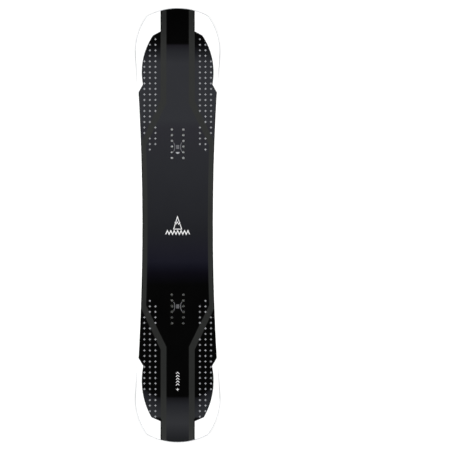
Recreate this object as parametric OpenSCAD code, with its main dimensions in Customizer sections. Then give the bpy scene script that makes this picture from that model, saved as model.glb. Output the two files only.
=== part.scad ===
// Twin-tip snowboard deck, laid up as the real one is: base sheet, steel edges, rubber foil,
// bottom laminate, wood core with sidewalls and tip spacers, threaded inserts, top laminate with
// carbon tapes, topsheet and shoulder panels. Millimetres. The board lies on its base, +Z up,
// nose at +X, heel side at +Y, origin on the ground under the middle of the board.

/* [Outline] */
// Overall length, straight from tip to tip
board_l = 1524; // [1480:4:1560]
// Width at the waist
waist_w = 255.2; // [246:0.2:266]
// Width at the widest points, near nose and tail
tip_w = 300; // [292:1:308]
// Sidecut radius
sidecut_r = 8000; // [7000:100:9000]
// Radius of the shoulder arc beyond the contact length
shoulder_r = 214; // [200:1:230]
// Radius of the blunt end arc
end_r = 225; // [210:1:260]
// Radius that blends the end arc into the shoulder arc
blend_r = 13; // [8:1:20]

/* [Profile] */
// Height of the camber at the middle
camber_h = 5; // [2:0.5:8]
// Half of the contact length
contact_x = 590; // [560:5:600]
// Rise of nose and tail
kick_h = 42; // [25:1:55]
// Lift of the side facets at the edge, where it is greatest
side_lift = 7; // [3:0.5:9]
// Distance of the facet creases from the centreline
crease_y = 64; // [50:1:75]

/* [Layers] */
// Thickness of the base sheet
base_t = 1.2; // [1:0.1:1.6]
// Width of the steel edge rail
rail_w = 2.1; // [1.8:0.1:2.6]
// Height of the steel edge rail
rail_t = 2.1; // [2:0.1:2.4]
// Reach of the edge flange and of the foil on it, from the outline
flange_w = 7; // [5:0.5:9]
// Thickness of the edge flange
flange_t = 0.6; // [0.4:0.1:0.7]
// Core thickness between the feet
core_mid_t = 7; // [6:0.5:8]
// Core thickness at the tips
core_tip_t = 2.4; // [2:0.2:3]
// Thickness of the top laminate
glass_t = 0.6; // [0.4:0.1:0.9]
// Thickness of the topsheet
sheet_t = 0.5; // [0.4:0.1:0.8]
// Depth of the sidewall, from the outline to the core
wall_w = 9; // [7:0.5:11]
// How far the sidewall bevel leans in at the top
bevel_w = 3.8; // [2:0.2:4]

/* [Inserts] */
// Distance between the middles of the two insert packs
stance = 580; // [540:10:600]
// How far the packs sit behind the middle of the board
setback = 4; // [0:1:10]
// Rows in each pack
insert_rows = 6; // [4:2:6]
// Distance between the rows
row_pitch = 20; // [20:1:20]
// Distance between the two columns
column_pitch = 40; // [40:1:40]
// Radius of the threaded bore
bore_r = 3; // [2.5:0.5:3]
// Radius of the insert barrel
barrel_r = 4.4; // [4.2:0.1:5]
// Radius of the insert flange, on the bottom laminate
foot_r = 8; // [6:0.5:9]

/* [Deck layout] */
// Half-width of the dark tongue at nose and tail
tongue_y = 60; // [55:1:65]
// Distance of the inner side of each band from the centreline, at nose and tail
band_inner_y = 39.4; // [36:0.2:44]
// Distance of the outer side of each band from the centreline, at nose and tail
band_outer_y = 59.8; // [56:0.2:60]

/* [Base inlays] */
// Width of the line that draws the tree
line_w = 5; // [4:0.5:6]
// Span of the small cross
cross_l = 24; // [18:1:30]
// Width of the arms of the small cross
cross_w = 6; // [4:0.5:8]

/* [Hidden] */
half_l = board_l / 2;
edge_t0 = base_t;                       // underside of the edge flange
edge_t1 = base_t + flange_t;            // top of the edge flange, where the foil lies
core_t0 = rail_t;                       // underside of the core
full_w = 160;                           // wider than the board, for cutting slabs
eps_w = 0.5;                            // overlap of rail and flange inside one steel section

// Centres of the outline's arcs. The shoulder arc touches the sidecut arc.
cut_cy = waist_w / 2 + sidecut_r;
arc_cy = tip_w / 2 - shoulder_r;
arc_cx = sqrt(pow(sidecut_r + shoulder_r, 2) - pow(cut_cy - arc_cy, 2));
end_cx = half_l - end_r;
join_a = asin(arc_cx / (sidecut_r + shoulder_r));

// Centre of the blend arc, inside both the shoulder arc and the end arc
gap = norm([arc_cx - end_cx, arc_cy]);
to_arc = shoulder_r - blend_r;
to_end = end_r - blend_r;
along = (pow(to_end, 2) - pow(to_arc, 2) + pow(gap, 2)) / (2 * gap);
aside = sqrt(pow(to_end, 2) - pow(along, 2));
axis_u = [arc_cx - end_cx, arc_cy] / gap;
blend_c = [end_cx, 0] + along * axis_u + aside * [-axis_u[1], axis_u[0]];
blend_a0 = atan2(blend_c[0] - arc_cx, blend_c[1] - arc_cy);
blend_a1 = atan2(blend_c[0] - end_cx, blend_c[1]);

// Steps along each arc of a quarter of the outline
cut_n = 13;
arc_n = 14;
blend_n = 6;
end_n = 12;

function on_arc(c, r, a) = [c[0] + r * sin(a), c[1] + r * cos(a)];

// A quarter of the outline, inset by d: the arcs keep their centres, so the inset is exact
function quarter(d) = [
    for (i = [0:cut_n - 1])
        let (a = join_a * i / cut_n) [(sidecut_r + d) * sin(a), cut_cy - (sidecut_r + d) * cos(a)],
    for (i = [0:arc_n - 1])
        on_arc([arc_cx, arc_cy], shoulder_r - d, -join_a + (blend_a0 + join_a) * i / arc_n),
    for (i = [0:blend_n - 1])
        on_arc(blend_c, blend_r - d, blend_a0 + (blend_a1 - blend_a0) * i / blend_n),
    for (i = [0:end_n - 1])
        on_arc([end_cx, 0], end_r - d, blend_a1 + (90 - blend_a1) * i / end_n)
];
quarter_n = cut_n + arc_n + blend_n + end_n;

// The whole outline, inset by d
function outline_points(d) = let (q = quarter(d)) [
    for (i = [0:quarter_n - 1]) q[i],
    [half_l - d, 0],
    for (i = [1:quarter_n]) let (p = q[quarter_n - i]) [p[0], -p[1]],
    for (i = [1:quarter_n - 1]) [-q[i][0], -q[i][1]],
    [d - half_l, 0],
    for (i = [1:quarter_n - 1]) let (p = q[quarter_n - i]) [-p[0], p[1]]
];

// Half-width along the sidecut, inset by d
function side_y(x, d) = cut_cy - sqrt(pow(sidecut_r + d, 2) - x * x);

// Where the sidewalls end and the tip spacers begin
wall_x = 588;
ply_t = glass_t / 2;                    // the carbon tapes lie in the upper half of the top laminate
spacer_w = 60;                          // depth of a tip spacer on the centreline
core_end_r = end_r - spacer_w;
taper_x0 = 350;                         // the core is full thickness up to here
taper_x1 = 600;                         // and thin from here on
lift_x0 = 420;                          // the side facets begin to lift
lift_x1 = 650;                          // and are highest
lift_x2 = 680;                          // and begin to flatten again
lift_end = 0.3;                         // share of the lift left at the very tip
kick_power = 1.9;

function ramp(v, a, b) = let (s = min(1, max(0, (v - a) / (b - a)))) s * s * (3 - 2 * s);

// Heights above the ground, at a distance x from the middle
function camber(x) = x < contact_x ? camber_h * pow(1 - pow(x / contact_x, 2), 2) : 0;
function kick(x) = x > contact_x
    ? kick_h * pow((x - contact_x) / (half_l - contact_x), kick_power) : 0;
function lift(x) = side_lift * ramp(x, lift_x0, lift_x1)
    * (1 - (1 - lift_end) * ramp(x, lift_x2, half_l));
function under_z(x, y) = camber(x) + kick(x)
    + lift(x) * max(0, abs(y) - crease_y) / (tip_w / 2 - crease_y);
function core_t(x) = core_mid_t - (core_mid_t - core_tip_t) * ramp(x, taper_x0, taper_x1);

// Height of a layer's surface: t above the underside, with k of the core's thickness in it
function layer_z(x, y, t, k) = under_z(abs(x), y) + t + k * core_t(abs(x));

mid_x = [0, 100, 200, 300, 360, 400];
tip_x = [435, 470, 505, 540, 565, 590, 606, 622, 638, 654, 670, 686, 702, 718, 734, 750, 766];
half_x = [for (x = mid_x) x, for (x = tip_x) x];
half_n = len(half_x);
stations = [for (i = [half_n - 1:-1:1]) -half_x[i], for (x = half_x) x];
nose_stations = [for (x = tip_x) if (x > wall_x - 30) x];
tail_stations = [for (i = [len(nose_stations) - 1:-1:0]) -nose_stations[i]];
shoulder_stations = [for (x = tip_x) x];

module outline(d) polygon(outline_points(d));

// A slab of the layup between two layer heights, over a list of stations along the board
module slab(t0, k0, t1, k1, xs = stations) {
    n = len(xs);
    ys = [-full_w, -crease_y, crease_y, full_w];
    pts = [for (s = [[t0, k0], [t1, k1]]) for (x = xs) for (y = ys) [x, y, layer_z(x, y, s[0], s[1])]];
    function id(s, i, j) = (s * n + i) * 4 + j;
    faces = [
        for (i = [0:n - 2]) [id(1, i, 1), id(1, i, 2), id(1, i + 1, 2), id(1, i + 1, 1)],
        for (i = [0:n - 2]) [id(0, i, 2), id(0, i, 1), id(0, i + 1, 1), id(0, i + 1, 2)],
        for (i = [0:n - 2]) for (j = [0, 2]) for (f = [
            [id(1, i, j), id(1, i, j + 1), id(1, i + 1, j + 1)],
            [id(1, i, j), id(1, i + 1, j + 1), id(1, i + 1, j)],
            [id(0, i, j + 1), id(0, i, j), id(0, i + 1, j + 1)],
            [id(0, i + 1, j + 1), id(0, i, j), id(0, i + 1, j)]
        ]) f,
        for (i = [0:n - 2]) [id(0, i, 0), id(1, i, 0), id(1, i + 1, 0), id(0, i + 1, 0)],
        for (i = [0:n - 2]) [id(1, i, 3), id(0, i, 3), id(0, i + 1, 3), id(1, i + 1, 3)],
        for (j = [0:2]) [id(0, 0, j), id(0, 0, j + 1), id(1, 0, j + 1), id(1, 0, j)],
        for (j = [0:2]) [id(0, n - 1, j + 1), id(0, n - 1, j), id(1, n - 1, j), id(1, n - 1, j + 1)]
    ];
    polyhedron(pts, faces);
}

function reverse(v) = [for (i = [len(v) - 1:-1:0]) v[i]];

// One layer: a slab cut to a flat shape
module layer(t0, k0, t1, k1, xs = stations) {
    intersection() {
        slab(t0, k0, t1, k1, xs);
        translate([0, 0, -20]) linear_extrude(120) children();
    }
}

// The half-plane of one side, 1 for heel and -1 for toe
module half_plane(side) translate([-half_l - 10, side > 0 ? 0 : -full_w]) square([board_l + 20, full_w]);

// Everything beyond the sidewalls at one end, 1 for nose and -1 for tail
module beyond(end, x0) translate([end > 0 ? x0 : -half_l - 10, -full_w])
    square([half_l + 10 - x0, 2 * full_w]);

module ring(d0, d1) difference() { outline(d0); outline(d1); }

// Flat shape of the wood core
module core_plan() intersection() {
    outline(wall_w);
    union() {
        square([2 * end_cx, 2 * full_w], center = true);
        for (e = [-1, 1]) translate([e * end_cx, 0]) circle(r = core_end_r, $fn = 96);
    }
}

// Flat shape of the top laminate: on the bevel at the sides, on the rail at the tips
module top_plan(side_d) intersection() {
    outline(rail_w);
    polygon([
        for (x = side_x) [x, side_y(x, side_d)],
        for (x = reverse(side_x)) [x, -side_y(x, side_d)]
    ]);
}
side_x = [for (i = [-11:11]) i * 70];

// Insert positions
pack_x = [stance / 2 - setback, -stance / 2 - setback];
function row_x(pack, row) = pack_x[pack] + (row - (insert_rows - 1) / 2) * row_pitch;
insert_t0 = core_t0 + 0.1;
foot_t = 0.9;

module at_inserts() for (p = [0, 1]) for (r = [0:insert_rows - 1]) for (s = [-1, 1])
    translate([row_x(p, r), s * column_pitch / 2, 0]) children();

// A band runs along the tongue, crosses out to the edge and follows it past the waist
cross_x0 = 432;                         // the bands leave the tongue here
cross_x1 = 291;                         // and reach the edge here
band_d0 = 6.6;
band_d1 = 21.6;
band_x = [for (i = [-5:5]) i * (cross_x1 - 6) / 5];
module band(side) {
    outer = [for (x = band_x) [x, side_y(x, band_d0)]];
    inner = [for (x = reverse(band_x)) [x, side_y(x, band_d1)]];
    scale([1, side]) polygon([
        [-half_l - 5, band_outer_y], [-cross_x0 - 5, band_outer_y],
        [-cross_x1 - 8, side_y(cross_x1, band_d0)],
        for (p = outer) p,
        [cross_x1 + 8, side_y(cross_x1, band_d0)],
        [cross_x0 + 5, band_outer_y], [half_l + 5, band_outer_y],
        [half_l + 5, band_inner_y], [cross_x0 - 5, band_inner_y],
        for (p = inner) p,
        [5 - cross_x0, band_inner_y], [-half_l - 5, band_inner_y]
    ]);
}

// Line between the dark sheet and a white shoulder, from the end of the board to its side. Each
// pair is nose, tail: the dark fin beside the tongue is a little fuller at the tail.
neck_x = [680, 688];                    // where the tongue widens into the fin
bowl_end_x = [666, 674];
bowl_r = [230, 256];
bowl_x = [537, 546];
bowl_top_y = 126;
fin_toe_x = 466;                        // where the white starts at the side
bowl_toe_x = 494;
bowl_n = 15;
function bowl(x, t) = bowl_top_y - bowl_r[t] + sqrt(pow(bowl_r[t], 2) - pow(x - bowl_x[t], 2));
function shoulder_edge(t) = [
    [half_l + 10, tongue_y], [neck_x[t], tongue_y],
    for (i = [0:bowl_n])
        let (x = bowl_end_x[t] + (bowl_toe_x - bowl_end_x[t]) * i / bowl_n) [x, bowl(x, t)],
    [fin_toe_x, side_y(fin_toe_x, bevel_w)], [fin_toe_x - 7, side_y(fin_toe_x - 7, 0) + 5]
];
module shoulder_plan(end, side) scale([end, side]) intersection() {
    polygon(concat(shoulder_edge(end > 0 ? 0 : 1), [[fin_toe_x - 7, full_w], [half_l + 10, full_w]]));
    top_plan(bevel_w);
}

// Base inlays: a pine tree drawn in one line, and a small cross
tree_x = 426;
tree_y = 64.6;
cross_pos = [492, 102];
tree = [
    [-60, -6], [-60, 6], [-40, 6], [-40, 35], [-8, 15], [-8, 29], [22, 12], [22, 22],
    [61, 0],
    [22, -22], [22, -12], [-8, -29], [-8, -15], [-40, -35], [-40, -6]
];

// Moves each side of a closed shape inwards by d
function inset(p, d) = let (n = len(p)) [
    for (i = [0:n - 1]) let (
        a = p[i] - p[(i + n - 1) % n], b = p[(i + 1) % n] - p[i],
        na = [a[1], -a[0]] / norm(a), nb = [b[1], -b[0]] / norm(b)
    ) p[i] + d * (na + nb) / (1 + na * nb)
];

module tree_plan(end) scale([end, end]) translate([tree_x, tree_y]) difference() {
    polygon(tree);
    polygon(inset(tree, line_w));
    translate([-65, -3]) square([12, 6]);
}
module cross_plan(end) scale([end, end]) translate(cross_pos) {
    square([cross_l, cross_w], center = true);
    square([cross_w, cross_l], center = true);
}

module base_sheet() color([0.15, 0.15, 0.16]) layer(0, 0, base_t, 0) difference() {
    outline(rail_w);
    for (e = [-1, 1]) {
        tree_plan(e);
        cross_plan(e);
    }
}

module tree_inlay(end) color([0.93, 0.93, 0.92])
    layer(0, 0, base_t, 0, end > 0 ? shoulder_like(1) : shoulder_like(-1)) tree_plan(end);

module cross_inlay(end) color([0.93, 0.93, 0.92])
    layer(0, 0, base_t, 0, end > 0 ? shoulder_like(1) : shoulder_like(-1)) cross_plan(end);

// Stations of the region in front of one insert pack
function shoulder_like(end) = let (xs = [for (x = half_x) if (x > 330) x])
    end > 0 ? xs : [for (x = reverse(xs)) -x];

module steel_edge(side) color([0.72, 0.73, 0.75]) union() {
    layer(0, 0, rail_t, 0) intersection() { ring(0, rail_w); half_plane(side); }
    layer(edge_t0, 0, edge_t1, 0) intersection() { ring(rail_w - eps_w, flange_w); half_plane(side); }
}

module foil(side) color([0.1, 0.1, 0.1])
    layer(edge_t1, 0, core_t0, 0) intersection() { ring(rail_w, flange_w); half_plane(side); }

module bottom_glass() color([0.78, 0.8, 0.72]) layer(base_t, 0, core_t0, 0) outline(flange_w);

// A strip of the core between two distances from the centreline
core_y = [32, 64, 98];
module core_strip(y0, y1, shade) color(shade) layer(core_t0, 0, core_t0, 1) intersection() {
    core_plan();
    translate([-half_l, y0]) square([board_l, y1 - y0]);
}

module core_centre() color([0.8, 0.66, 0.48]) difference() {
    core_strip(-core_y[0], core_y[0], [0.8, 0.66, 0.48]);
    for (p = [0, 1]) for (r = [0:insert_rows - 1]) for (s = [-1, 1]) {
        x = row_x(p, r);
        translate([x, s * column_pitch / 2, under_z(abs(x), 0)]) {
            cylinder(h = 40, r = barrel_r, $fn = 48);
            cylinder(h = insert_t0 + foot_t, r = foot_r, $fn = 48);
        }
    }
}

// Sidewall: its outer face leans in, and draws in onto the rail's inner line near the tips
wall_d0 = 0.4;
wall_xs = [for (i = [-14:14]) i * wall_x / 14];
module sidewall(side) color([0.94, 0.94, 0.93]) {
    n = len(wall_xs);
    pts = [for (x = wall_xs) let (
        foot_d = wall_d0 + (rail_w - wall_d0) * ramp(abs(x), taper_x0 + 100, wall_x),
        cap_d = bevel_w + (rail_w - bevel_w) * ramp(abs(x), taper_x0 + 150, wall_x),
        c = [[foot_d, 0], [cap_d, 1], [wall_w, 1], [wall_w, 0]]
    ) for (q = c) let (y = side_y(x, q[0])) [x, side * y, layer_z(x, y, core_t0, q[1])]];
    ring_faces = [for (i = [0:n - 2]) for (j = [0:3]) let (
        a = 4 * i + j, b = 4 * i + (j + 1) % 4, c = b + 4, d = a + 4) for (f = [[a, b, c], [a, c, d]]) f];
    caps = [[3, 2, 1, 0], [for (j = [0:3]) 4 * (n - 1) + j]];
    polyhedron(pts, [for (f = concat(ring_faces, caps)) side > 0 ? reverse(f) : f]);
}

module spacer(end) color([0.9, 0.9, 0.88])
    layer(core_t0, 0, core_t0, 1, end > 0 ? nose_stations : tail_stations) difference() {
        intersection() { outline(rail_w); beyond(end, wall_x); }
        core_plan();
    }

// Threaded insert: a flanged barrel with a blind bore
barrel_top = core_t0 + core_mid_t + glass_t;
module insert(end, side, row) color([0.75, 0.76, 0.78]) {
    x = row_x(end > 0 ? 0 : 1, end > 0 ? insert_rows - row : row - 1);
    translate([x, side * column_pitch / 2, under_z(abs(x), 0)]) difference() {
        union() {
            translate([0, 0, insert_t0]) cylinder(h = foot_t - 0.1, r = foot_r - 0.1, $fn = 48);
            translate([0, 0, insert_t0]) cylinder(h = barrel_top - insert_t0, r = barrel_r - 0.05, $fn = 48);
        }
        translate([0, 0, insert_t0 + foot_t]) cylinder(h = 20, r = bore_r, $fn = 48);
    }
}

module top_glass() color([0.8, 0.82, 0.76]) difference() {
    layer(core_t0, 1, core_t0 + glass_t, 1) top_plan(bevel_w);
    layer(core_t0 + ply_t, 1, core_t0 + glass_t + eps_w, 1) {
        band(1);
        band(-1);
    }
    at_inserts() cylinder(h = 40, r = barrel_r, $fn = 48);
}

module carbon_tape(side) color([0.19, 0.2, 0.19])
    layer(core_t0 + ply_t, 1, core_t0 + glass_t, 1) intersection() { top_plan(bevel_w); band(side); }

module topsheet() color([0.14, 0.14, 0.16]) difference() {
    layer(core_t0 + glass_t, 1, core_t0 + glass_t + sheet_t, 1) difference() {
        top_plan(bevel_w);
        for (e = [-1, 1]) for (s = [-1, 1]) shoulder_plan(e, s);
    }
    at_inserts() cylinder(h = 40, r = barrel_r + 0.1, $fn = 48);
}

module shoulder(end, side) color([0.97, 0.97, 0.97])
    layer(core_t0 + glass_t, 1, core_t0 + glass_t + sheet_t, 1, shoulder_like(end)) shoulder_plan(end, side);

base_sheet();
tree_inlay(1);  // nose_tree_inlay
tree_inlay(-1);  // tail_tree_inlay
cross_inlay(1);  // nose_cross_inlay
cross_inlay(-1);  // tail_cross_inlay
steel_edge(-1);  // toe_edge
steel_edge(1);  // heel_edge
foil(-1);  // toe_foil
foil(1);  // heel_foil
bottom_glass();
core_centre();
core_strip(-core_y[1], -core_y[0], [0.88, 0.78, 0.6]);  // core_toe_inner
core_strip(-core_y[2], -core_y[1], [0.84, 0.72, 0.54]);  // core_toe_middle
core_strip(-full_w, -core_y[2], [0.88, 0.78, 0.6]);  // core_toe_outer
core_strip(core_y[0], core_y[1], [0.88, 0.78, 0.6]);  // core_heel_inner
core_strip(core_y[1], core_y[2], [0.84, 0.72, 0.54]);  // core_heel_middle
core_strip(core_y[2], full_w, [0.88, 0.78, 0.6]);  // core_heel_outer
sidewall(-1);  // toe_sidewall
sidewall(1);  // heel_sidewall
spacer(1);  // nose_spacer
spacer(-1);  // tail_spacer
insert(1, -1, 1);  // nose_toe_insert_1
insert(1, -1, 2);  // nose_toe_insert_2
insert(1, -1, 3);  // nose_toe_insert_3
insert(1, -1, 4);  // nose_toe_insert_4
insert(1, -1, 5);  // nose_toe_insert_5
insert(1, -1, 6);  // nose_toe_insert_6
insert(1, 1, 1);  // nose_heel_insert_1
insert(1, 1, 2);  // nose_heel_insert_2
insert(1, 1, 3);  // nose_heel_insert_3
insert(1, 1, 4);  // nose_heel_insert_4
insert(1, 1, 5);  // nose_heel_insert_5
insert(1, 1, 6);  // nose_heel_insert_6
insert(-1, -1, 1);  // tail_toe_insert_1
insert(-1, -1, 2);  // tail_toe_insert_2
insert(-1, -1, 3);  // tail_toe_insert_3
insert(-1, -1, 4);  // tail_toe_insert_4
insert(-1, -1, 5);  // tail_toe_insert_5
insert(-1, -1, 6);  // tail_toe_insert_6
insert(-1, 1, 1);  // tail_heel_insert_1
insert(-1, 1, 2);  // tail_heel_insert_2
insert(-1, 1, 3);  // tail_heel_insert_3
insert(-1, 1, 4);  // tail_heel_insert_4
insert(-1, 1, 5);  // tail_heel_insert_5
insert(-1, 1, 6);  // tail_heel_insert_6
top_glass();
carbon_tape(-1);  // toe_carbon_tape
carbon_tape(1);  // heel_carbon_tape
topsheet();
shoulder(1, -1);  // nose_toe_shoulder
shoulder(1, 1);  // nose_heel_shoulder
shoulder(-1, -1);  // tail_toe_shoulder
shoulder(-1, 1);  // tail_heel_shoulder
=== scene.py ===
"""Looks of a twin-tip snowboard, laid flat on its base: +X is the nose and +Y the heel side.

The shapes here are the board builder's own layer heights and outline arcs, in millimetres, worked
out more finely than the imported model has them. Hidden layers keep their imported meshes.
"""

import math

import bpy
import numpy as np
from mathutils.geometry import delaunay_2d_cdt
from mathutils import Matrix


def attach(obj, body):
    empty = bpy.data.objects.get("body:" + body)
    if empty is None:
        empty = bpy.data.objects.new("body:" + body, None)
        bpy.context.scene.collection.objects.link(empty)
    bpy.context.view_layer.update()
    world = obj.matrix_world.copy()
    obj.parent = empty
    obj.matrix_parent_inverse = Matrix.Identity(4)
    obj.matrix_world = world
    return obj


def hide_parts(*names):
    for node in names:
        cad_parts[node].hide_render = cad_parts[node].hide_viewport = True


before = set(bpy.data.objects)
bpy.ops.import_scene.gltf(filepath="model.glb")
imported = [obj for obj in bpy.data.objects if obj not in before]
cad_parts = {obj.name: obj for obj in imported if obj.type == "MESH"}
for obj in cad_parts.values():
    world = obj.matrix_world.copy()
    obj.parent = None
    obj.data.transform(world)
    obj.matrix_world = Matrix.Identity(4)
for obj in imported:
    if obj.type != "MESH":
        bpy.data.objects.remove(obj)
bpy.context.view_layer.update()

MM = 0.001

# ---------------------------------------------------------------- sizes of the board, in mm

HALF_LENGTH = 762.0
HALF_WAIST = 127.6
HALF_TIP = 150.0
SIDECUT_R = 8000.0
SHOULDER_R = 214.0
END_R = 225.0
BLEND_R = 13.0

CAMBER = 5.0
CONTACT_X = 590.0
KICK = 42.0
KICK_POWER = 1.9
FACET_LIFT = 7.0
CREASE_Y = 64.0
LIFT_FROM, LIFT_FULL, LIFT_FADES, LIFT_LEFT = 420.0, 650.0, 680.0, 0.3

BASE_T = 1.2
RAIL_T = 2.1
RAIL_W = 2.1
FLANGE_T = 0.6
FLANGE_W = 7.0
CORE_T = 7.0
CORE_TIP_T = 2.4
CORE_TAPER = (350.0, 600.0)
GLASS_T = 0.6
SHEET_T = 0.5
SIDEWALL_W = 9.0
BEVEL_W = 3.8
SIDEWALL_END = 588.0
SPACER_DEPTH = 60.0

STANCE = 580.0
SETBACK = 4.0
ROWS = 6
ROW_PITCH = 20.0
COLUMN_Y = 20.0
HOLE_R = 4.5
LACQUER_R = 3.7

TONGUE_Y = 60.0
BOWL_TOP_Y = 126.0
BOWL_TOE_X = 494.0
BOWL_POINTS = 59
FIN_TOE_X = 466.0
# End of the neck, end of the bowl, and the bowl's centre and radius, for the nose and the tail.
FINS = {1: (680.0, 666.0, 537.0, 230.0), -1: (688.0, 674.0, 546.0, 256.0)}
# How far the shapes that only cut others reach past the board.
CUT_PAST = 20.0

# ---------------------------------------------------------------- outline and layer heights

SIDECUT_Y = HALF_WAIST + SIDECUT_R
SHOULDER_Y = HALF_TIP - SHOULDER_R
SHOULDER_X = math.sqrt((SIDECUT_R + SHOULDER_R) ** 2 - (SIDECUT_Y - SHOULDER_Y) ** 2)
END_X = HALF_LENGTH - END_R
JOIN_ANGLE = math.asin(SHOULDER_X / (SIDECUT_R + SHOULDER_R))
SIDECUT_STEPS, SHOULDER_STEPS, BLEND_STEPS, END_STEPS = 60, 48, 10, 30


def blend_centre():
    """Centre of the small arc that lies inside both the shoulder arc and the end arc."""
    gap = math.hypot(SHOULDER_X - END_X, SHOULDER_Y)
    to_shoulder, to_end = SHOULDER_R - BLEND_R, END_R - BLEND_R
    along = (to_end**2 - to_shoulder**2 + gap**2) / (2 * gap)
    aside = math.sqrt(to_end**2 - along**2)
    ux, uy = (SHOULDER_X - END_X) / gap, SHOULDER_Y / gap
    return END_X + along * ux - aside * uy, along * uy + aside * ux


BLEND_X, BLEND_Y = blend_centre()
BLEND_FROM = math.atan2(BLEND_X - SHOULDER_X, BLEND_Y - SHOULDER_Y)
BLEND_TO = math.atan2(BLEND_X - END_X, BLEND_Y)


def arc(centre_x, centre_y, radius, start, stop, steps):
    """Points on an arc, angles from +Y towards +X, without the last one."""
    turns = [start + (stop - start) * i / steps for i in range(steps)]
    return [(centre_x + radius * math.sin(a), centre_y + radius * math.cos(a)) for a in turns]


def quarter_outline(inset):
    """From the waist to the nose tip on the heel side; the arcs keep their centres when inset."""
    sidecut = [
        ((SIDECUT_R + inset) * math.sin(a), SIDECUT_Y - (SIDECUT_R + inset) * math.cos(a))
        for a in (JOIN_ANGLE * i / SIDECUT_STEPS for i in range(SIDECUT_STEPS))
    ]
    shoulder = arc(
        SHOULDER_X, SHOULDER_Y, SHOULDER_R - inset, -JOIN_ANGLE, BLEND_FROM, SHOULDER_STEPS
    )
    blend = arc(BLEND_X, BLEND_Y, BLEND_R - inset, BLEND_FROM, BLEND_TO, BLEND_STEPS)
    end = arc(END_X, 0, END_R - inset, BLEND_TO, math.pi / 2, END_STEPS)
    return sidecut + shoulder + blend + end + [(HALF_LENGTH - inset, 0.0)]


def half_outline(inset, side):
    """From nose tip to tail tip round one side, 1 for heel and -1 for toe."""
    nose_half = quarter_outline(inset)[::-1]
    tail_half = [(-x, y) for x, y in nose_half[-2::-1]]
    return [(x, side * y) for x, y in nose_half + tail_half]


def whole_outline(inset):
    """Closed outline of the board, set in by a distance."""
    return half_outline(inset, 1) + half_outline(inset, -1)[-2:0:-1]


def side_y(x, inset):
    """Half-width of the board along the sidecut."""
    return SIDECUT_Y - np.sqrt((SIDECUT_R + inset) ** 2 - np.square(x))


def ramp(value, low, high):
    """0 below low, 1 above high and smooth between."""
    s = np.clip((value - low) / (high - low), 0, 1)
    return s * s * (3 - 2 * s)


def underside(x, y):
    """Height of the base above the ground."""
    x, y = np.abs(x), np.abs(y)
    camber = np.where(x < CONTACT_X, CAMBER * (1 - np.minimum(x / CONTACT_X, 1) ** 2) ** 2, 0)
    beyond = np.maximum(x - CONTACT_X, 0) / (HALF_LENGTH - CONTACT_X)
    lift = FACET_LIFT * ramp(x, LIFT_FROM, LIFT_FULL)
    lift = lift * (1 - (1 - LIFT_LEFT) * ramp(x, LIFT_FADES, HALF_LENGTH))
    facet = np.maximum(0, y - CREASE_Y) / (HALF_TIP - CREASE_Y)
    return camber + KICK * beyond**KICK_POWER + lift * facet


def layer_height(x, y, above, core_share):
    """Height of a point above the base by a set amount and by a share of the core's thickness."""
    core = CORE_T - (CORE_T - CORE_TIP_T) * ramp(np.abs(x), *CORE_TAPER)
    return underside(x, y) + above + core_share * core


# Heights of the layers: an amount above the base, and a share of the core's thickness.
CORE_FLOOR = (RAIL_T, 0)
CORE_ROOF = (RAIL_T, 1)
GLASS_TOP = (RAIL_T + GLASS_T, 1)
DECK = (RAIL_T + GLASS_T + SHEET_T, 1)

# ---------------------------------------------------------------- flat patterns


def inside(loop, points):
    """Which points lie in a closed loop, as a mask."""
    found = np.zeros(len(points), bool)
    px, py = points[:, 0], points[:, 1]
    for (x0, y0), (x1, y1) in zip(loop, loop[1:] + loop[:1]):
        if y0 != y1:
            crosses = (y0 > py) != (y1 > py)
            found ^= crosses & (px < (x1 - x0) * (py - y0) / (y1 - y0) + x0)
    return found


def within(loops, points):
    """Which points lie in the first loop and in none of the others."""
    found = inside(loops[0], points)
    for hole in loops[1:]:
        found &= ~inside(hole, points)
    return found


def shoulder_line(end):
    """Line between the dark sheet and a white shoulder, from past the tip to the side."""
    neck_x, bowl_end_x, centre_x, radius = FINS[end]
    centre_y = BOWL_TOP_Y - radius
    bowl = [
        (x, centre_y + math.sqrt(radius**2 - (x - centre_x) ** 2))
        for x in np.linspace(bowl_end_x, BOWL_TOE_X, BOWL_POINTS)
    ]
    toe = (FIN_TOE_X, float(side_y(FIN_TOE_X, BEVEL_W)))
    return [(HALF_LENGTH + CUT_PAST, TONGUE_Y), (neck_x, TONGUE_Y), *bowl, toe]


def mirrored(points, end, side):
    """Points drawn for nose and heel, moved to another quarter of the board."""
    return [(end * x, side * y) for x, y in points]


def disc(x, y, radius, steps=40):
    """A round shape."""
    turns = [2 * math.pi * i / steps for i in range(steps)]
    return [(x + radius * math.cos(a), y + radius * math.sin(a)) for a in turns]


def insert_places():
    """Name, x and y of every threaded insert; row 1 is the one nearest its tip."""
    for end, word in ((1, "nose"), (-1, "tail")):
        for side, edge in ((1, "heel"), (-1, "toe")):
            for row in range(1, ROWS + 1):
                along = (ROWS + 1) / 2 - row
                x = end * (STANCE / 2 + along * ROW_PITCH) - SETBACK
                yield f"{word}_{edge}_insert_{row}", x, side * COLUMN_Y


# The emblem of the base: a pine tree in one line, its top towards the tip, and a small cross.
TREE_AT = (426.0, 64.6)
TREE = [
    (-60, -6), (-60, 6), (-40, 6), (-40, 35), (-8, 15), (-8, 29), (22, 12), (22, 22),
    (61, 0),
    (22, -22), (22, -12), (-8, -29), (-8, -15), (-40, -35), (-40, -6),
]
TREE_LINE = 5.0
TREE_GAP = [(-65, -3), (-53, -3), (-53, 3), (-65, 3)]
CROSS_AT = (492.0, 102.0)
CROSS_SPAN, CROSS_ARM = 24.0, 6.0


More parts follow.
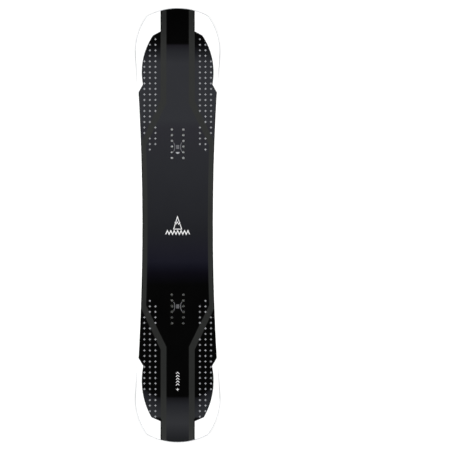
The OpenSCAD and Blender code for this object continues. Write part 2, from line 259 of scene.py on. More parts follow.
def drawn_in(loop, distance):
    """Moves each side of a closed shape inwards."""
    moved = []
    for i, (x, y) in enumerate(loop):
        before = np.subtract((x, y), loop[i - 1])
        after = np.subtract(loop[(i + 1) % len(loop)], (x, y))
        n0 = np.array([before[1], -before[0]]) / np.hypot(*before)
        n1 = np.array([after[1], -after[0]]) / np.hypot(*after)
        moved.append(tuple((x, y) + distance * (n0 + n1) / (1 + n0 @ n1)))
    return moved


def cross_shape(span, arm):
    """A plus of two bars."""
    s, a = span / 2, arm / 2
    return [
        (s, -a), (s, a), (a, a), (a, s), (-a, s), (-a, a),
        (-s, a), (-s, -a), (-a, -a), (-a, -s), (a, -s), (a, -a),
    ]


def placed(shape, at, end=1):
    """A small flat shape moved to its place and, for the tail, turned half round the middle."""
    return [(end * (at[0] + x), end * (at[1] + y)) for x, y in shape]


# ---------------------------------------------------------------- mesh making


def new_piece(name, points, faces, finish, nodes=(), crease=30):
    """A piece of the board from points in mm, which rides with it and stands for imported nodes."""
    mesh = bpy.data.meshes.new(name)
    mesh.from_pydata((np.asarray(points, float) * MM).tolist(), [], faces)
    mesh.shade_smooth()
    mesh.set_sharp_from_angle(angle=math.radians(crease))
    mesh.materials.append(finish)
    piece = bpy.data.objects.new(name, mesh)
    bpy.context.scene.collection.objects.link(piece)
    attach(piece, "root")
    if nodes:
        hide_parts(*nodes)
    return piece


def dense(loop, step=9.0):
    """A closed loop with points added where they are far apart."""
    filled = []
    for (x0, y0), (x1, y1) in zip(loop, loop[1:] + loop[:1]):
        count = max(1, math.ceil(math.hypot(x1 - x0, y1 - y0) / step))
        filled += [(x0 + (x1 - x0) * i / count, y0 + (y1 - y0) * i / count) for i in range(count)]
    return filled


# How far ink stands out of the deck and reaches into it, and the longest side of its outline.
INK_T = 0.08
INK_SUNK = 0.02
INK_STEP = 6.0
# Grid points inside a sheet, so that it bends smoothly, and how far they stay from its lines.
GRID_STEP = 10.0
GRID_ROWS = [0, 12, 24, 36, 48, 58, 62, 64, 66, 72, 84, 96, 108, 120, 132, 144]
GRID_CLEAR = 2.5
SAME_POINT = 1e-4
SLIVER = 1e-3


def joined(lines):
    """Corners of closed lines in one list, and the edges between them."""
    corners, edges = [], []
    for line in lines:
        first, count = len(corners), len(line)
        edges += [(first + i, first + (i + 1) % count) for i in range(count)]
        corners += line
    return corners, edges


def triangles_up(corners, edges):
    """Fills a plan with triangles that face up; gives its points, them and twice their areas."""
    points, _, triangles, *_ = delaunay_2d_cdt(corners, edges, [], 0, SAME_POINT)
    points, triangles = np.array(points), np.array(triangles)
    a, b, c = (points[triangles[:, i]] for i in range(3))
    area = (b - a)[:, 0] * (c - a)[:, 1] - (b - a)[:, 1] * (c - a)[:, 0]
    triangles[area < 0] = triangles[area < 0][:, ::-1]
    return points, triangles, np.abs(area)


def rim_edges(triangles):
    """Edges that only one triangle has."""
    sides = {(t[i], t[(i + 1) % 3]) for t in triangles.tolist() for i in range(3)}
    return [(a, b) for a, b in sorted(sides) if (b, a) not in sides]


def flat_triangles(loops):
    """Cuts the whole plan along the loops, and gives its points and its triangles."""
    corners, edges = joined([dense(loop) for loop in loops])
    near = np.array(corners)
    rows = sorted({s * y for y in GRID_ROWS for s in (1, -1)})
    for x in np.arange(-HALF_LENGTH + GRID_STEP / 2, HALF_LENGTH, GRID_STEP):
        column = near[np.abs(near[:, 0] - x) <= GRID_CLEAR]
        for y in rows:
            gaps = np.hypot(column[:, 0] - x, column[:, 1] - y)
            if not len(gaps) or gaps.min() > GRID_CLEAR:
                corners.append((float(x), float(y)))
    points, triangles, area = triangles_up(corners, edges)
    return points, triangles[area > SLIVER]


def sheet_piece(name, points, triangles, low, high, finish, nodes):
    """A thin piece between two layer heights, from flat triangles."""
    used, triangles = np.unique(triangles, return_inverse=True)
    triangles = triangles.reshape(-1, 3)
    x, y = points[used].T
    count = len(used)
    below = np.column_stack([x, y, layer_height(x, y, *low)])
    above = np.column_stack([x, y, layer_height(x, y, *high)])
    faces = (triangles + count).tolist() + triangles[:, ::-1].tolist()
    faces += [(a, b, b + count, a + count) for a, b in rim_edges(triangles)]
    return new_piece(name, np.vstack([below, above]), faces, finish, nodes)


def swept_piece(name, lines, finish, nodes, side):
    """A long piece whose section's corners run along lines, each a list of points in mm."""
    corners, count = len(lines), len(lines[0])
    points = [line[i] for i in range(count) for line in lines]
    faces = []
    for here in range(0, (count - 1) * corners, corners):
        there = here + corners
        for j in range(corners):
            k = (j + 1) % corners
            faces.append([here + j, here + k, there + k, there + j])
    faces += [list(range(corners))[::-1], [(count - 1) * corners + j for j in range(corners)]]
    if side < 0:
        faces = [face[::-1] for face in faces]
    return new_piece(name, points, faces, finish, nodes)


def turned_piece(name, profile, x, y, finish, nodes, steps=48):
    """A piece turned on a lathe, from the radius and height of each point round its section."""
    points = [
        (x + r * math.cos(a), y + r * math.sin(a), z)
        for a in (2 * math.pi * i / steps for i in range(steps))
        for r, z in profile
    ]
    rings = len(profile)
    faces = []
    for i in range(steps):
        here, there = i * rings, (i + 1) % steps * rings
        faces += [[here + j, there + j, there + j + 1, here + j + 1] for j in range(rings - 1)]
    faces.append([i * rings for i in range(steps)][::-1])
    faces.append([i * rings + rings - 1 for i in range(steps)])
    return new_piece(name, points, faces, finish, nodes, crease=40)


def printed_piece(name, shapes, finish):
    """Flat shapes of ink on the deck, each a thin raised patch: its outline, then its holes."""
    points, faces = [], []
    above, share = DECK
    for loops in shapes:
        flat, triangles, _ = triangles_up(*joined([dense(loop, INK_STEP) for loop in loops]))
        triangles = triangles[within(loops, flat[triangles].mean(axis=1))]
        x, y = flat.T
        first, lower = len(points), len(points) + len(flat)
        for height in (above + INK_T, above - INK_SUNK):
            points += np.column_stack([x, y, layer_height(x, y, height, share)]).tolist()
        faces += (triangles + first).tolist()
        rim = rim_edges(triangles)
        faces += [(p + lower, q + lower, q + first, p + first) for p, q in rim]
        faces += (triangles[:, ::-1] + lower).tolist()
    return new_piece(name, points, faces, finish)


# ---------------------------------------------------------------- shader maths


def both_ways(operation):
    """An operator of Dial and its reflected form, each as one Math node."""

    def forward(self, other):
        return self.maths(operation, self, other)

    def reflected(self, other):
        return self.maths(operation, other, self)

    return forward, reflected


class Dial:
    """A shader value: Python's operators add the Math nodes."""

    def __init__(self, nodes, socket):
        self.nodes, self.socket = nodes, socket

    def maths(self, operation, *values):
        """The result of one Math node."""
        made = self.nodes.node("ShaderNodeMath", {"operation": operation}, enumerate(values))
        return made.dial(0)

    __add__, __radd__ = both_ways("ADD")
    __sub__, __rsub__ = both_ways("SUBTRACT")
    __mul__, __rmul__ = both_ways("MULTIPLY")
    __truediv__, __rtruediv__ = both_ways("DIVIDE")
    __mod__, __rmod__ = both_ways("FLOORED_MODULO")
    __pow__, __rpow__ = both_ways("POWER")

    def __abs__(self):
        return self.maths("ABSOLUTE", self)

    def least(self, other):
        return self.maths("MINIMUM", self, other)

    def most(self, other):
        return self.maths("MAXIMUM", self, other)

    def rise(self, low, high):
        """0 below low, 1 above high and smooth between, or the other way with low above high."""
        made = self.nodes.node(
            "ShaderNodeMapRange",
            {"interpolation_type": "SMOOTHSTEP"},
            {"Value": self, "From Min": low, "From Max": high},
        )
        return made.dial("Result")


class Made:
    """A new node, which hands out its outputs."""

    def __init__(self, nodes, node):
        self.nodes, self.made = nodes, node

    def out(self, name):
        return self.made.outputs[name]

    def dial(self, name):
        return Dial(self.nodes, self.made.outputs[name])


class Nodes:
    """A node tree, in which node() makes every new node."""

    def __init__(self, owner):
        owner.use_nodes = True
        self.tree = owner.node_tree

    def node(self, kind, settings=(), sockets=()):
        """Adds a node: its settings first, then the values or links of its sockets."""
        made = self.tree.nodes.new(kind)
        for key, value in dict(settings).items():
            if key == "stops":
                self.set_stops(made.color_ramp, value)
            else:
                setattr(made, key, value)
        for key, value in dict(sockets).items():
            self.feed(made.inputs[key], value)
        return Made(self, made)

    def feed(self, socket, value):
        """Links a dial or an output to a socket, or sets the socket's own value."""
        if isinstance(value, Dial):
            value = value.socket
        if isinstance(value, bpy.types.NodeSocket):
            self.tree.links.new(value, socket)
        else:
            socket.default_value = value

    @staticmethod
    def set_stops(band, stops):
        """Gives a colour ramp its stops."""
        while len(band.elements) < len(stops):
            band.elements.new(1.0)
        for element, (position, colour) in zip(band.elements, stops):
            element.position, element.color = position, (*colour, 1)


class Finish(Nodes):
    """One finish of the board: a material with a single shader, and its place in mm."""

    def __init__(self, name, **constants):
        self.material = bpy.data.materials.new(name)
        super().__init__(self.material)
        self.shader = self.tree.nodes["Principled BSDF"]
        for socket, value in constants.items():
            self.shader.inputs[socket.replace("_", " ")].default_value = value
        self.place = self.node("ShaderNodeTexCoord").out("Object")
        parts = self.node("ShaderNodeSeparateXYZ", {}, {"Vector": self.place})
        self.x, self.y = (parts.dial(axis) * (1 / MM) for axis in "XY")

    def shade(self, **sockets):
        """Feeds the shader's sockets."""
        for name, value in sockets.items():
            self.feed(self.shader.inputs[name.replace("_", " ")], value)
        return self.material

    def stretched(self, cycles):
        """The place in cycles, from the cycles per metre along each axis, or along all three."""
        along = cycles if isinstance(cycles, tuple) else (cycles,) * 3
        return self.node(
            "ShaderNodeVectorMath", {"operation": "MULTIPLY"}, {0: self.place, 1: along}
        ).out(0)

    def noise(self, cycles, detail, roughness=0.55):
        """Cloudy grain about 0.5."""
        sockets = {"Scale": 1.0, "Detail": detail, "Roughness": roughness}
        return self.node(
            "ShaderNodeTexNoise", {}, {"Vector": self.stretched(cycles), **sockets}
        ).dial("Fac")

    def flecks(self, cycles, size):
        """Sparse small spots, 1 at their middles."""
        cells = self.node(
            "ShaderNodeTexVoronoi", {}, {"Vector": self.stretched(cycles), "Scale": 1.0}
        )
        return 1 - cells.dial("Distance").rise(size * 0.5, size)

    def mix(self, share, first, second):
        """Colour that goes from first to second."""
        return self.node(
            "ShaderNodeMix", {"data_type": "RGBA"}, {0: share, 6: first, 7: second}
        ).out(2)

    def ramp(self, share, stops):
        """Colour between stops, each a share and a colour."""
        return self.node("ShaderNodeValToRGB", {"stops": stops}, {"Fac": share}).out("Color")

    def bump(self, height, depth):
        """Normal of a relief; depth is its height in mm."""
        return self.node(
            "ShaderNodeBump", {}, {"Height": height, "Distance": depth * MM, "Strength": 1.0}
        ).out("Normal")


def screen(red, green, blue):
    """A colour given as it looks on a screen, 0 to 255, in linear light."""
    shares = [c / 255 for c in (red, green, blue)]
    return tuple(s / 12.92 if s <= 0.04045 else ((s + 0.055) / 1.055) ** 2.4 for s in shares)


def paint(red, green, blue, strength=1.0):
    """A colour socket's value, from a colour as it looks on a screen."""
    return (*(c * strength for c in screen(red, green, blue)), 1.0)


# ---------------------------------------------------------------- finishes

# The studio shows a matt white this bright, so that the whites come out clean. The dark finishes
# and the inks are mixed that much darker, to come out as they are named here.
STUDIO_LIGHT = 1.25
MIXED = 1 / STUDIO_LIGHT
BLACK = (0, 0, 0, 1)

# How the dark sheet's fade looks along the board, from tail to nose: x in mm and the colour.
FADE = [
    (-756, (29, 30, 32)), (-735, (37, 38, 41)), (-694, (49, 50, 53)), (-672, (46, 47, 50)),
    (-630, (34, 35, 39)), (-605.5, (19, 19, 22)), (-604.5, (0, 0, 0)), (-210, (0, 0, 0)),
    (-168, (7, 6, 14)), (-147, (15, 15, 25)), (-126, (23, 23, 33)), (-83, (27, 27, 35)),
    (-20, (31, 32, 36)), (43, (35, 36, 40)), (127, (38, 39, 43)), (211, (41, 42, 46)),
    (338, (44, 44, 49)), (369, (48, 49, 53)), (569, (48, 49, 53)), (590, (42, 43, 47)),
    (611, (36, 37, 41)), (632, (25, 24, 29)), (635, (23, 22, 27)), (636, (0, 0, 0)),
]
# How light the carbon tapes look along the board: x in mm and the grey.
TAPE_FADE = [
    (-735, 53), (-651, 47), (-567, 41), (-294, 42), (-126, 46), (42, 46), (147, 50),
    (567, 51), (609, 48), (672, 42), (735, 37),
]
# Near the nose the fade steps to black on the tongue, while the fins beside it darken slowly.
# Near the tail its sides show what the middle shows FIN_SLANT further on.
FADE_STEP = 630.0
FIN_DARKENS = (560, 655)
FIN_SLANT = 30.0
FIN_SLANT_FROM = (300, 400)
FIN_SLANT_WIDTH = 61.0
# Sides of a carbon tape, the outer one first: how far in from the waist's edge, where it crosses
# to the tongue and how steeply, and its distance from the centreline along the tongue.
TAPE_INSETS = (6.6, 21.6)
TAPE_LEAVES = (437.0, 427.0)
TAPE_SLOPES = (0.4696, 0.4886)
TAPE_TONGUE = (59.8, 39.4)
TAPE_NARROWS = 3.2
TAPE_NECK = (678, 682)
# Black shows outside the tape up to the first stretch and again from the second.
BORDER_ENDS = (285, 297)
BORDER_RETURNS = (670, 680)
KEYLINE = (1.6, 2.2)
SOFT = 0.4


def tape_side(ax, which):
    """Distance of a carbon tape's outer (0) or inner (1) side from the centreline."""
    waist = ax * ax / (2 * SIDECUT_R) + (HALF_WAIST - TAPE_INSETS[which])
    cross = (TAPE_LEAVES[which] - ax) * TAPE_SLOPES[which] + TAPE_TONGUE[which]
    return cross.most(TAPE_TONGUE[which]).least(waist)


def along_board(f, x, stops):
    """Colour that changes from tail to nose, from places in mm and colours as on a screen."""
    share = (x + HALF_LENGTH) / (2 * HALF_LENGTH)
    spaced = [
        ((at + HALF_LENGTH) / (2 * HALF_LENGTH), tuple(MIXED * c for c in screen(*colour)))
        for at, colour in stops
    ]
    return f.ramp(share, spaced)


def keyline(x, ay):
    """Black line printed just inside the deck's edge and the white shoulders."""
    ax = abs(x)
    (_, corner_y), (_, toe_y) = shoulder_line(1)[-2:]
    run, climb = BOWL_TOE_X - FIN_TOE_X, toe_y - corner_y
    slope = math.hypot(run, climb)
    to_side = ax * ax / (2 * SIDECUT_R) + (HALF_WAIST - BEVEL_W) - ay
    to_toe = (BOWL_TOE_X - ax) * (climb / slope) + (corner_y - ay) * (run / slope)
    past_toe = (BOWL_TOE_X - 1, BOWL_TOE_X)
    line = (1 - to_side.least(to_toe).rise(*KEYLINE)) * (1 - ax.rise(*past_toe))
    for end, (_, bowl_end_x, centre_x, radius) in FINS.items():
        along, across = x * end, ay - (BOWL_TOP_Y - radius)
        to_bowl = radius - ((along - centre_x) ** 2 + across**2) ** 0.5
        beside = along.rise(*past_toe) * (1 - along.rise(bowl_end_x, bowl_end_x + 4))
        line = line.most((1 - to_bowl.rise(*KEYLINE)) * beside)
    return line


def printed_topsheet():
    """Dark sheet whose colour changes from tail to nose, with a printed keyline, and the carbon
    tapes that show through it.
    """
    f = Finish("printed_topsheet", Specular_IOR_Level=0.08, IOR=1.5)
    ax, ay = abs(f.x), abs(f.y)

    fin = (ay - TONGUE_Y).rise(0, 2 * SOFT)
    tail_slant = (0 - f.x).rise(*FIN_SLANT_FROM) * FIN_SLANT
    slant = (ay - CREASE_Y).rise(0, FIN_SLANT_WIDTH) * tail_slant
    past_step = (f.x - FADE_STEP).most(0) * fin
    fade = along_board(f, f.x - slant - past_step, FADE)
    fade = f.mix(fin * f.x.rise(*FIN_DARKENS), fade, BLACK)

    outer = tape_side(ax, 0) - ax.rise(*TAPE_NECK) * TAPE_NARROWS
    inner = tape_side(ax, 1)
    tape = (outer - ay).rise(-SOFT, SOFT) * (ay - inner).rise(-SOFT, SOFT)
    between = ax.rise(*BORDER_ENDS) * (1 - ax.rise(*BORDER_RETURNS))
    border = (ay - outer).rise(-SOFT, SOFT) * (1 - between)
    border = border.most(keyline(f.x, ay))
    tape_tone = along_board(f, f.x, [(x, (grey, grey + 1, grey)) for x, grey in TAPE_FADE])
    deck = f.mix(tape, f.mix(border, fade, BLACK), tape_tone)

    fibres = f.noise((25, 1400, 25), 3) * 0.24 + 0.88
    tows = f.noise((60, 420, 60), 2) * 0.16 + 0.92
    grain, cloud = f.noise(900, 3), f.noise((9, 14, 9), 3)
    light = (fibres * tows - 1) * tape + 1
    light = light * (grain * 0.08 + 0.96) * (cloud * 0.06 + 0.97)
    lit = f.node("ShaderNodeVectorMath", {"operation": "SCALE"}, {0: deck, "Scale": light})
    scuffs = f.noise((40, 700, 40), 5, 0.7).rise(0.7, 0.85)
    return f.shade(
        Base_Color=lit.out(0),
        Roughness=cloud * 0.1 + grain * 0.06 + scuffs * 0.1 + 0.3,
        Normal=f.bump(grain * 0.5 + fibres * tape * 0.8 + scuffs * -0.5, 0.012),
    )


def white_shoulder():
    """Glossy white panels at the tips."""
    f = Finish("white_shoulder", Specular_IOR_Level=0.5)
    grain, cloud = f.noise(900, 3), f.noise(12, 3)
    tone = f.mix(cloud * 0.5 + grain * 0.2, paint(241, 242, 243), paint(247, 247, 246))
    return f.shade(
        Base_Color=tone,
        Roughness=cloud * 0.12 + grain * 0.08 + 0.26,
        Normal=f.bump(grain, 0.01),
    )


def sintered_base():
    """Near-black base with grinding lines along it and wax in them."""
    f = Finish("sintered_base", Specular_IOR_Level=0.35)
    grind = f.noise((7, 2200, 7), 3, 0.6)
    cross_grind = f.noise((500, 900, 500), 2)
    wax = f.noise((5, 16, 5), 4)
    specks = f.flecks(420, 0.16)
    tone = f.mix(
        wax * 0.6 + grind * 0.5 - 0.1 + specks * 0.15,
        paint(41, 41, 43, MIXED),
        paint(54, 54, 56, MIXED),
    )
    return f.shade(
        Base_Color=tone,
        Roughness=wax * 0.16 + grind * 0.12 + 0.34,
        Normal=f.bump(grind + cross_grind * 0.3, 0.025),
    )


def die_cut_inlay():
    """White base plastic, ground together with the base."""
    f = Finish("die_cut_inlay", Specular_IOR_Level=0.4)
    grind, wax = f.noise((7, 2200, 7), 3), f.noise(30, 3)
    tone = f.mix(wax * 0.7 + grind * 0.3, paint(243, 244, 243), paint(252, 252, 250))
    return f.shade(
        Base_Color=tone, Roughness=wax * 0.1 + grind * 0.1 + 0.34, Normal=f.bump(grind, 0.02)
    )


def ground_steel(name, low, high, metal, rough):
    """Steel with the fine lines that a grinding wheel leaves along it."""
    f = Finish(name, Metallic=metal)
    lines = f.noise((30, 1800, 1800), 3, 0.6)
    hand = f.noise((16, 40, 40), 3)
    nicks = f.flecks((160, 500, 500), 0.12)
    tone = f.mix(lines * 0.5 + hand * 0.6 - 0.05, paint(*low), paint(*high))
    return f.shade(
        Base_Color=f.mix(nicks * 0.35, tone, paint(120, 118, 114)),
        Roughness=hand * 0.2 + lines * 0.14 + nicks * 0.1 + rough,
        Normal=f.bump(lines - nicks * 0.6, 0.012),
    )


def insert_steel():
    """Tapped steel with painted light: a painted highlight on the nose's inserts and painted shade
    on the tail's; the sheet's black lacquer has crept over the rim.
    """
    f = Finish("insert_steel", Metallic=1.0)
    turning, hand = f.noise(1500, 2), f.noise(90, 3)
    from_row = (f.x + (SETBACK + ROW_PITCH / 2)) % ROW_PITCH - ROW_PITCH / 2
    from_axis = (from_row**2 + (abs(f.y) - COLUMN_Y) ** 2) ** 0.5
    lacquer = from_axis.rise(LACQUER_R - 0.1, LACQUER_R + 0.1)
    worked = turning * 0.6 + hand * 0.4
    # Lit and shaded copies of one steel: the nose's inserts get a painted highlight and the tail's
    # painted shade, not a change in the metal.
    bright = f.mix(worked, paint(205, 207, 209), paint(240, 241, 242))
    painted_shade_steel = f.mix(worked, paint(102, 104, 106), paint(136, 137, 138))
    steel = f.mix(f.x.rise(100, -100), bright, painted_shade_steel)
    return f.shade(
        Base_Color=f.mix(lacquer, steel, paint(30, 30, 31)),
        Roughness=hand * 0.2 + turning * 0.1 + 0.22,
        Normal=f.bump(turning, 0.01),
    )


def rubber_foil():
    """Matt black rubber."""
    f = Finish("rubber_foil", Specular_IOR_Level=0.3)
    grain, cloud = f.noise(1200, 3), f.noise(60, 2)
    tone = f.mix(grain * 0.5 + cloud * 0.5, paint(24, 24, 24), paint(44, 44, 43))
    return f.shade(
        Base_Color=tone, Roughness=grain * 0.2 + cloud * 0.1 + 0.6, Normal=f.bump(grain, 0.05)
    )


def glass_laminate():
    """Cured glass cloth, its threads along and across the board."""
    f = Finish("glass_laminate", Specular_IOR_Level=0.5)
    warp, weft = f.noise((20, 900, 200), 3), f.noise((900, 20, 200), 3)
    cloud = f.noise(25, 3)
    tone = f.mix(warp * 0.4 + weft * 0.3 + cloud * 0.3, paint(176, 182, 158), paint(222, 224, 204))
    return f.shade(
        Base_Color=tone,
        Roughness=cloud * 0.15 + warp * 0.1 + 0.3,
        Normal=f.bump(warp + weft, 0.04),
    )


def wood_strip(name, early, late):
    """One kind of core wood: long grain with darker late rings."""
    f = Finish(name, Specular_IOR_Level=0.3)
    bend = f.noise((3, 22, 22), 3)
    rings = f.node(
        "ShaderNodeTexWave",
        {"wave_type": "BANDS", "bands_direction": "Y"},
        {
            "Vector": f.stretched((2, 90, 60)),
            "Scale": 1.0,
            "Distortion": 3.5,
            "Detail": 2.0,
            "Detail Scale": 0.6,
        },
    ).dial("Fac")
    pores = f.noise((60, 2400, 2400), 3)
    tone = f.mix(rings * 0.6 + bend * 0.3 + pores * 0.15, paint(*early), paint(*late))
    return f.shade(
        Base_Color=tone,
        Roughness=pores * 0.2 + rings * 0.1 + 0.5,
        Normal=f.bump(pores + rings * 0.4, 0.05),
    )


def sidewall_plastic(name, low, high):
    """Ground plastic of the sidewalls and of the tip spacers."""
    f = Finish(name, Specular_IOR_Level=0.5)
    cut, cloud = f.noise((18, 700, 1500), 3), f.noise((20, 20, 60), 3)
    marks = f.flecks((90, 260, 500), 0.1)
    tone = f.mix(cut * 0.5 + cloud * 0.5, paint(*low), paint(*high))
    return f.shade(
        Base_Color=f.mix(marks * 0.12, tone, paint(170, 170, 168)),
        Roughness=cloud * 0.12 + cut * 0.14 + 0.28,
        Normal=f.bump(cut, 0.03),
    )


def carbon_weave():
    """Carbon tape, its tows along the board."""
    f = Finish("carbon_weave", Specular_IOR_Level=0.5)
    fibres, cloud = f.noise((25, 1600, 25), 3), f.noise((30, 60, 30), 3)
    tows = f.noise((60, 420, 60), 2)
    tone = f.mix(fibres * 0.5 + tows * 0.4 + cloud * 0.1, paint(28, 29, 29), paint(62, 63, 62))
    return f.shade(
        Base_Color=tone,
        Roughness=fibres * 0.2 + cloud * 0.1 + 0.3,
        Normal=f.bump(fibres + tows, 0.04),
    )


def deck_ink(name, low, high):
    """Screen ink on the deck."""
    f = Finish(name, Specular_IOR_Level=0.3)
    screen_grain, cloud = f.noise(2600, 2), f.noise(60, 3)
    tone = f.mix(screen_grain * 0.4 + cloud * 0.6, paint(*low, MIXED), paint(*high, MIXED))
    return f.shade(
        Base_Color=tone,
        Roughness=cloud * 0.12 + screen_grain * 0.1 + 0.38,
        Normal=f.bump(screen_grain, 0.01),
    )


FINISHES = {
    "topsheet_dark": printed_topsheet(),
    "shoulder_white": white_shoulder(),
    "base_black": sintered_base(),
    "inlay_white": die_cut_inlay(),
    "edge_steel": ground_steel("edge_steel", (196, 198, 201), (224, 226, 228), 0.35, 0.26),
    "insert_steel": insert_steel(),
    "foil_rubber": rubber_foil(),
    "glass_laminate": glass_laminate(),
    "sidewall_white": sidewall_plastic("sidewall_white", (236, 237, 238), (248, 248, 247)),
    "spacer_plastic": sidewall_plastic("spacer_plastic", (226, 227, 226), (242, 242, 240)),
    "carbon_tape": carbon_weave(),
}
POPLAR = wood_strip("poplar", (226, 208, 168), (190, 160, 112))
BEECH = wood_strip("beech", (214, 180, 136), (172, 128, 84))
WHITE_INK = deck_ink("white_ink", (240, 240, 241), (250, 250, 250))
PALE_INK = deck_ink("pale_ink", (172, 174, 178), (190, 192, 196))
GREY_INK = deck_ink("grey_ink", (128, 129, 133), (150, 151, 155))

# ---------------------------------------------------------------- layers that show


def lay_base():
    """Base sheet and the inlays cut into it."""
    outline = whole_outline(RAIL_W)
    inlays = {}
    for end, word in ((1, "nose"), (-1, "tail")):
        tree = (TREE, drawn_in(TREE, TREE_LINE), TREE_GAP)
        inlays[f"{word}_tree_inlay"] = [placed(shape, TREE_AT, end) for shape in tree]
        inlays[f"{word}_cross_inlay"] = [placed(cross_shape(CROSS_SPAN, CROSS_ARM), CROSS_AT, end)]
    loops = [outline] + [loop for parts in inlays.values() for loop in parts]
    points, triangles = flat_triangles(loops)
    middle = points[triangles].mean(axis=1)
    left = inside(outline, middle)
    for name, parts in inlays.items():
        found = within(parts, middle)
        left &= ~found
        sheet_piece(
            name + "_sheet", points, triangles[found], (0, 0), (BASE_T, 0),
            FINISHES["inlay_white"], [name],
        )
    sheet_piece(
        "base_sheet_skin", points, triangles[left], (0, 0), (BASE_T, 0),
        FINISHES["base_black"], ["base_sheet"],
    )


def deck_plan():
    """Sides of the deck, in from the board's by the sidewall's bevel."""
    xs = np.linspace(-HALF_LENGTH, HALF_LENGTH, 201)
    heel = [(float(x), float(side_y(x, BEVEL_W))) for x in xs]
    return heel + [(x, -y) for x, y in heel[::-1]]


def lay_deck():
    """Dark topsheet and the four white shoulders beside it."""
    outline, sides = whole_outline(RAIL_W), deck_plan()
    holes = [disc(x, y, HOLE_R) for _, x, y in insert_places()]
    shoulders = {}
    for end, word in ((1, "nose"), (-1, "tail")):
        for side, edge in ((1, "heel"), (-1, "toe")):
            far_y = HALF_TIP + CUT_PAST
            corner = [(FIN_TOE_X - 10, far_y), (HALF_LENGTH + CUT_PAST, far_y)]
            shape = shoulder_line(end) + corner
            shoulders[f"{word}_{edge}_shoulder"] = mirrored(shape, end, side)
    points, triangles = flat_triangles([outline, sides, *shoulders.values(), *holes])
    middle = points[triangles].mean(axis=1)
    left = inside(outline, middle) & within([sides, *holes], middle)
    for name, shape in shoulders.items():
        found = left & inside(shape, middle)
        left &= ~found
        sheet_piece(
            name + "_panel", points, triangles[found], GLASS_TOP, DECK,
            FINISHES["shoulder_white"], [name],
        )
    sheet_piece(
        "topsheet_print", points, triangles[left], GLASS_TOP, DECK,
        FINISHES["topsheet_dark"], ["topsheet"],
    )


def lay_spacers():
    """Tip spacers, which fill the plan between the core's round ends and the rail."""
    outline, inner = whole_outline(RAIL_W), whole_outline(SIDEWALL_W)
    side_y_past, tip_x_past = HALF_TIP + 9, HALF_LENGTH + 9
    for end, word in ((1, "nose"), (-1, "tail")):
        start = [(end * SIDEWALL_END, y) for y in (-side_y_past, side_y_past)]
        far = [(end * tip_x_past, y) for y in (side_y_past, -side_y_past)]
        core_end = disc(end * END_X, 0, END_R - SPACER_DEPTH, 120)
        points, triangles = flat_triangles([outline, start + far, core_end, inner])
        middle = points[triangles].mean(axis=1)
        core = inside(core_end, middle) & inside(inner, middle)
        found = inside(outline, middle) & inside(start + far, middle) & ~core
        sheet_piece(
            word + "_spacer_ring", points, triangles[found], CORE_FLOOR, CORE_ROOF,
            FINISHES["spacer_plastic"], [word + "_spacer"],
        )


def lay_edges():
    """Steel edges: a rail with broken corners, and the flange that is glued into the layup."""
    flange_low, flange_top = BASE_T, BASE_T + FLANGE_T
    corner = 0.25
    section = [
        (corner, 0), (0, corner), (0, RAIL_T - corner), (corner, RAIL_T), (RAIL_W, RAIL_T),
        (RAIL_W, flange_top), (FLANGE_W, flange_top), (FLANGE_W, flange_low),
        (RAIL_W, flange_low), (RAIL_W, 0),
    ]
    for side, word in ((1, "heel"), (-1, "toe")):
        lines = []
        for inset, above in section:
            path = half_outline(inset, side)
            lines.append([(x, y, float(layer_height(x, y, above, 0))) for x, y in path])
        swept_piece(
            word + "_edge_rail", lines, FINISHES["edge_steel"],
            [word + "_edge"], -side,
        )


def lay_sidewalls():
    """Sidewalls: upright at the rail, then bevelled in towards the deck; plain at their ends."""
    foot_in, foot_from, cap_from = 0.4, CORE_TAPER[0] + 100, CORE_TAPER[0] + 150
    xs = np.linspace(SIDEWALL_END, -SIDEWALL_END, 145)
    foot = foot_in + (RAIL_W - foot_in) * ramp(np.abs(xs), foot_from, SIDEWALL_END)
    cap = BEVEL_W + (RAIL_W - BEVEL_W) * ramp(np.abs(xs), cap_from, SIDEWALL_END)
    lean = cap - foot
    for side, word in ((1, "heel"), (-1, "toe")):
        lines = []
        for share, inset in (
            (0, foot + 0.1), (0.03, foot), (0.3, foot + 0.06 * lean), (0.42, foot + 0.2 * lean),
            (0.95, foot + 0.93 * lean), (1, cap), (1, SIDEWALL_W), (0, SIDEWALL_W),
        ):
            ys = side_y(xs, inset)
            zs = layer_height(xs, ys, RAIL_T, share)
            lines.append([(float(x), side * float(y), float(z)) for x, y, z in zip(xs, ys, zs)])
        swept_piece(
            word + "_sidewall_strip", lines, FINISHES["sidewall_white"],
            [word + "_sidewall"], -side,
        )


def set_inserts():
    """Threaded inserts: a flanged barrel with a blind bore, cut with rings for its thread."""
    axis_r, foot_r, barrel_r, root_r, crest_r = 0.001, 7.9, 4.35, 3.0, 2.5
    floor, foot_top, bottom, top = 0.1, 0.9, 1.0, CORE_T + GLASS_T
    pitch, turns, corner, mouth = 1.0, 6, 0.2, 0.35
    thread = []
    for turn in range(turns):
        z = top - 0.55 - turn * pitch
        thread += [(root_r, z), (root_r, z - 0.15), (crest_r, z - 0.45), (crest_r, z - 0.6)]
    profile = [
        (axis_r, floor), (foot_r - corner, floor), (foot_r, floor + 0.15),
        (foot_r, foot_top - 0.15), (foot_r - corner, foot_top), (barrel_r + 0.25, foot_top),
        (barrel_r, floor + 1.2), (barrel_r, top - corner), (barrel_r - corner, top),
        (root_r + mouth, top), (root_r, top - mouth), *thread,
        (root_r, bottom + 0.4), (root_r, bottom), (axis_r, bottom),
    ]
    for name, x, y in insert_places():
        base = float(underside(x, 0)) + RAIL_T
        turned_piece(
            name + "_turned", [(r, base + z) for r, z in profile], x, y,
            FINISHES["insert_steel"], [name],
        )


# ---------------------------------------------------------------- ink on the deck


